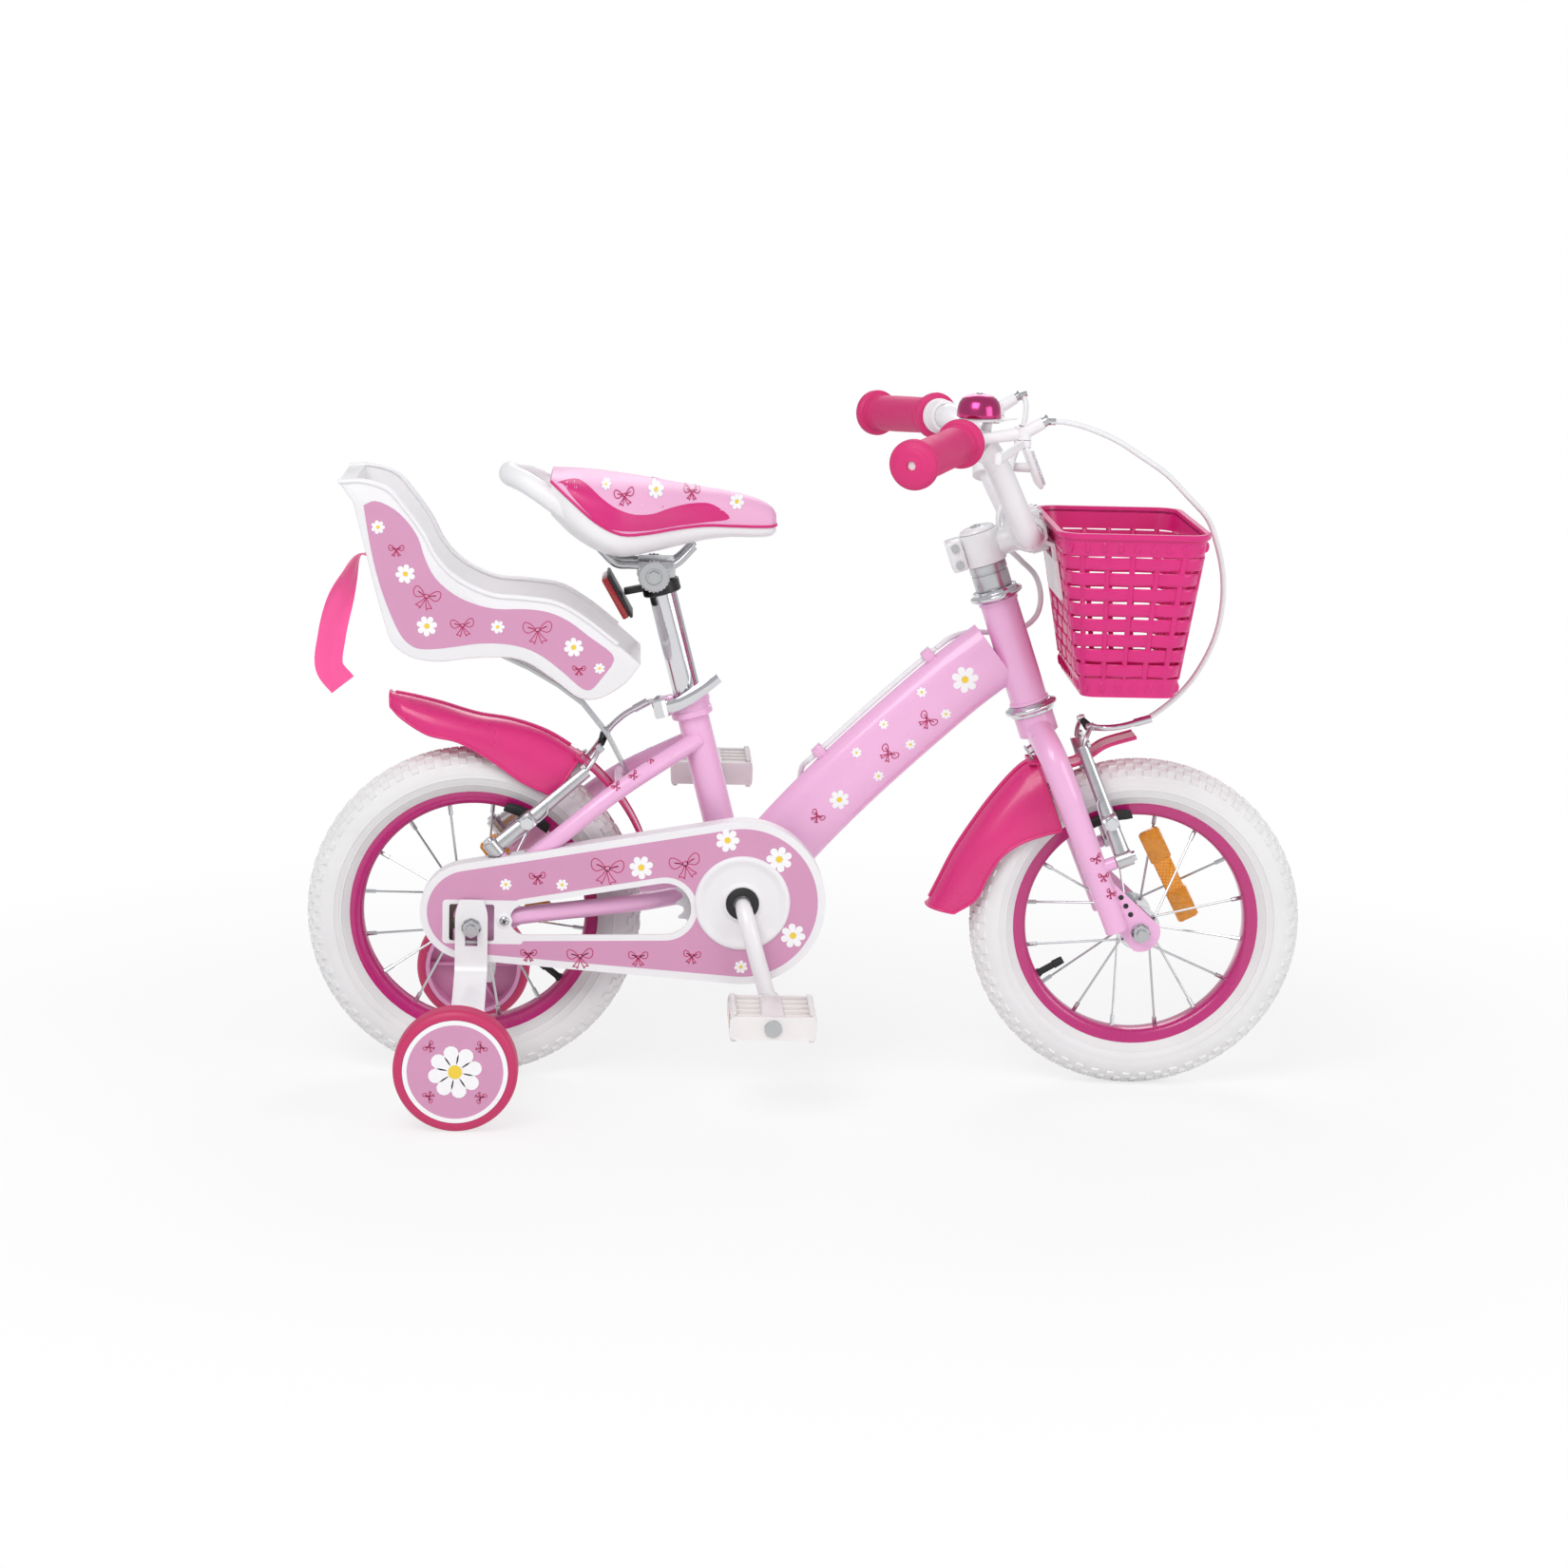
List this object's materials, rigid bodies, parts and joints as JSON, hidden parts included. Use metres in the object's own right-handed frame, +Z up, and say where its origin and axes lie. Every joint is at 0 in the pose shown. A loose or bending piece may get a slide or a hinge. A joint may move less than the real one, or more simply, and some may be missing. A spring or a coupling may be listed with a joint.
{
  "type": "kids bike with training wheels",
  "caption": "Small low-step child's bicycle with spoked wheels, training wheels, chain guard, fenders, front basket, handled saddle and a doll seat over the rear wheel.",
  "frame": {"origin": "on the floor, midway between the two wheels' contact points, in the bike's middle plane", "axes": "+X forward, +Y to the bike's left, +Z up; the chain is on the -Y side"},
  "size_m": [0.904, 0.5022, 0.6378],
  "materials": {
    "frame_paint": "glossy light pink paint",
    "pink_plastic": "glossy hot pink plastic",
    "dusty_plastic": "glossy dusty pink plastic",
    "magenta_metal": "glossy magenta paint",
    "white_rubber": "matt white rubber",
    "white_paint": "glossy white paint",
    "white_plastic": "glossy white plastic",
    "trainer_rubber": "matt raspberry rubber",
    "pink_rubber": "matt hot pink rubber",
    "ribbon_cloth": "satin pink ribbon",
    "bright_steel": "polished plated steel",
    "dark_steel": "oiled steel",
    "cable_plastic": "white cable sleeve",
    "amber_lens": "amber reflector lens",
    "clear_lens": "clear reflector lens",
    "red_lens": "red reflector lens",
    "seat_cover": "smooth light pink seat cover",
    "black_plastic": "black plastic",
    "milky_plastic": "milky white plastic",
    "disc_plastic": "glossy light pink plastic",
    "arm_alloy": "satin silver alloy"
  },
  "bodies": {
    "frame": {"main_frame": "frame_paint", "headset_upper_cup": "magenta_metal", "headset_lower_cup": "magenta_metal", "seat_collar": "frame_paint", "chain_guard": "dusty_plastic", "rear_fender": "pink_plastic", "doll_seat": "white_plastic", "doll_seat_bracket": "bright_steel", "doll_ribbon": "ribbon_cloth", "rear_axle": "bright_steel", "bearing_cup_right": "black_plastic", "bearing_cup_left": "black_plastic", "rear_brake_cable": "cable_plastic", "chain": "dark_steel", "trainer_bracket_left": "white_paint", "trainer_bracket_right": "white_paint"},
    "front_end": {"fork": "frame_paint", "stem": "white_paint", "handlebar": "white_paint", "grip_left": "pink_rubber", "grip_right": "pink_rubber", "lever_perch_left": "white_plastic", "lever_perch_right": "white_plastic", "bell_base": "pink_plastic", "bell_dome": "pink_plastic", "front_reflector": "clear_lens", "basket": "pink_plastic", "basket_bracket": "white_plastic", "front_fender": "pink_plastic", "front_axle": "bright_steel", "front_brake_cable": "cable_plastic", "rear_brake_cable_front": "cable_plastic"},
    "front_wheel": {"front_tyre": "white_rubber", "front_rim": "magenta_metal", "front_hub_spokes": "bright_steel", "front_wheel_reflector": "amber_lens"},
    "rear_wheel": {"rear_tyre": "white_rubber", "rear_rim": "magenta_metal", "rear_hub_spokes": "bright_steel", "rear_wheel_reflector": "amber_lens"},
    "rear_freewheel": {"rear_sprocket": "dark_steel"},
    "crank_set": {"crank": "white_paint", "chainring": "white_paint"},
    "pedal_right": {"pedal_right": "milky_plastic"},
    "pedal_left": {"pedal_left": "milky_plastic"},
    "trainer_wheel_left": {"trainer_tyre_left": "trainer_rubber", "trainer_disc_left": "disc_plastic"},
    "trainer_wheel_right": {"trainer_tyre_right": "trainer_rubber", "trainer_disc_right": "disc_plastic"},
    "brake_lever_left": {"brake_lever_left": "white_plastic"},
    "brake_lever_right": {"brake_lever_right": "white_plastic"},
    "front_brake_arm_left": {"front_brake_arm_left": "arm_alloy"},
    "front_brake_arm_right": {"front_brake_arm_right": "arm_alloy"},
    "rear_brake_arm_left": {"rear_brake_arm_left": "arm_alloy"},
    "rear_brake_arm_right": {"rear_brake_arm_right": "arm_alloy"},
    "saddle": {"seatpost": "bright_steel", "saddle_base": "white_plastic", "saddle_pad": "seat_cover", "rear_reflector": "red_lens"},
    "quick_release": {"quick_release_lever": "bright_steel"}
  },
  "joints": [
    {"name": "steering", "type": "hinge", "parent": "frame", "child": "front_end", "pos_m": [0.1977, 0, 0.3524], "axis": [-0.3269, 0, 0.9451], "range_deg": [-45, 45], "deforming": ["rear_brake_cable_front"]},
    {"name": "front_wheel_spin", "type": "hinge", "parent": "front_end", "child": "front_wheel", "pos_m": [0.301, 0, 0.151], "axis": [0, 1, 0], "continuous": true},
    {"name": "rear_wheel_spin", "type": "hinge", "parent": "frame", "child": "rear_wheel", "pos_m": [-0.301, 0, 0.151], "axis": [0, 1, 0], "continuous": true},
    {"name": "crank_spin", "type": "hinge", "parent": "frame", "child": "crank_set", "pos_m": [-0.06, 0, 0.176], "axis": [0, 1, 0], "continuous": true},
    {"name": "freewheel_spin", "type": "hinge", "parent": "frame", "child": "rear_freewheel", "pos_m": [-0.301, 0, 0.151], "axis": [0, 1, 0], "continuous": true},
    {"name": "pedal_right_spin", "type": "hinge", "parent": "crank_set", "child": "pedal_right", "pos_m": [-0.03415, -0.086, 0.08875], "axis": [0, 1, 0], "continuous": true},
    {"name": "pedal_left_spin", "type": "hinge", "parent": "crank_set", "child": "pedal_left", "pos_m": [-0.08585, 0.086, 0.26325], "axis": [0, 1, 0], "continuous": true},
    {"name": "trainer_wheel_left_spin", "type": "hinge", "parent": "frame", "child": "trainer_wheel_left", "pos_m": [-0.3085, 0.191, 0.054], "axis": [0, 1, 0], "continuous": true},
    {"name": "trainer_wheel_right_spin", "type": "hinge", "parent": "frame", "child": "trainer_wheel_right", "pos_m": [-0.3085, -0.191, 0.054], "axis": [0, 1, 0], "continuous": true},
    {"name": "brake_lever_left_pull", "type": "hinge", "parent": "front_end", "child": "brake_lever_left", "pos_m": [0.17, 0.118, 0.606], "axis": [0, 0, 1], "range_deg": [0, 20]},
    {"name": "brake_lever_right_pull", "type": "hinge", "parent": "front_end", "child": "brake_lever_right", "pos_m": [0.17, -0.118, 0.606], "axis": [0, 0, -1], "range_deg": [0, 20]},
    {"name": "front_arm_left_swing", "type": "hinge", "parent": "front_end", "child": "front_brake_arm_left", "pos_m": [0.2572, 0.0491, 0.2081], "axis": [0.9282, 0, 0.372], "range_deg": [0, 2.3]},
    {"name": "front_arm_right_swing", "type": "hinge", "parent": "front_end", "child": "front_brake_arm_right", "pos_m": [0.2572, -0.0491, 0.2081], "axis": [0.9282, 0, 0.372], "range_deg": [-2.3, 0]},
    {"name": "rear_arm_left_swing", "type": "hinge", "parent": "frame", "child": "rear_brake_arm_left", "pos_m": [-0.2642, 0.053, 0.1978], "axis": [0.6402, 0, -0.7682], "range_deg": [0, 2.3]},
    {"name": "rear_arm_right_swing", "type": "hinge", "parent": "frame", "child": "rear_brake_arm_right", "pos_m": [-0.2642, -0.053, 0.1978], "axis": [0.6402, 0, -0.7682], "range_deg": [-2.3, 0]},
    {"name": "seat_height", "type": "slide", "parent": "frame", "child": "saddle", "axis": [-0.2571, 0, 0.9664], "range_m": [-0.01, 0.06]},
    {"name": "quick_release_turn", "type": "hinge", "parent": "frame", "child": "quick_release", "pos_m": [-0.1357, -0.0183, 0.3427], "axis": [0.2571, 0, -0.9664], "range_deg": [0, 170]}
  ],
  "couplings": [
    {"joint": "freewheel_spin", "follows": "crank_spin", "ratio": 1.75},
    {"joint": "front_arm_left_swing", "follows": "brake_lever_right_pull", "ratio": 0.112},
    {"joint": "front_arm_right_swing", "follows": "brake_lever_right_pull", "ratio": -0.112},
    {"joint": "rear_arm_left_swing", "follows": "brake_lever_left_pull", "ratio": 0.112},
    {"joint": "rear_arm_right_swing", "follows": "brake_lever_left_pull", "ratio": -0.112}
  ]
}
